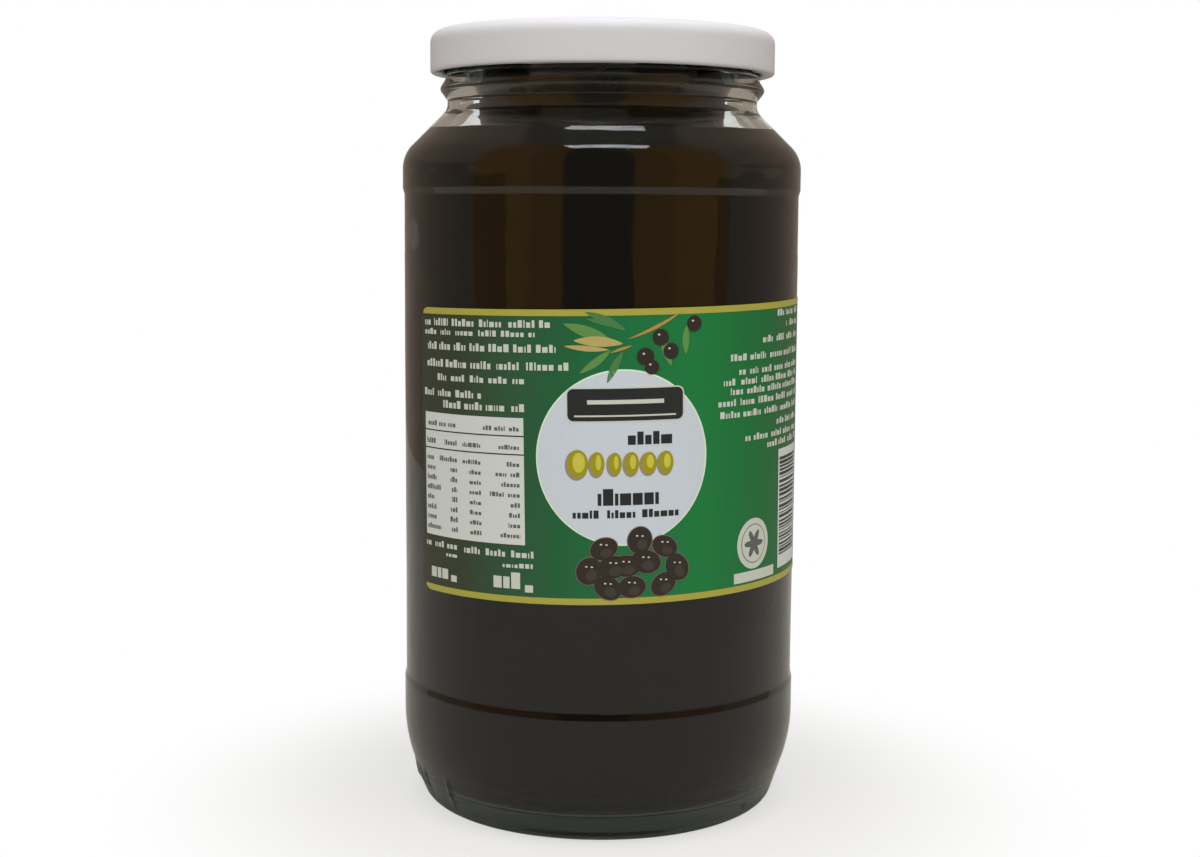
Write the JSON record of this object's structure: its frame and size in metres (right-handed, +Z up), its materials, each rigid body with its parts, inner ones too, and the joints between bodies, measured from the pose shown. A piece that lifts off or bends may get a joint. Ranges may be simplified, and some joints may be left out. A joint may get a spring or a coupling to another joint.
{
  "type": "jar of olives",
  "caption": "Round glass jar of dark pitted olives in brine with a white twist-off cap, a recessed panel and a green paper label with gold borders.",
  "frame": {"origin": "middle of the base, on the surface that the jar stands on", "axes": "+Z up along the jar's axis; the middle of the label faces -Y; +X to the right seen from the front"},
  "size_m": [0.0928, 0.0928, 0.18],
  "materials": {
    "glass": "clear, smooth",
    "cap_lacquer": "white gloss lacquer",
    "label_paper": "coated, semi-gloss",
    "brine": "dark brown translucent liquid",
    "olive_skin": "wet, smooth"
  },
  "bodies": {
    "root": {"jar": "glass", "lid": "cap_lacquer", "label": "label_paper", "brine": "brine", "olives": "olive_skin"}
  },
  "joints": []
}
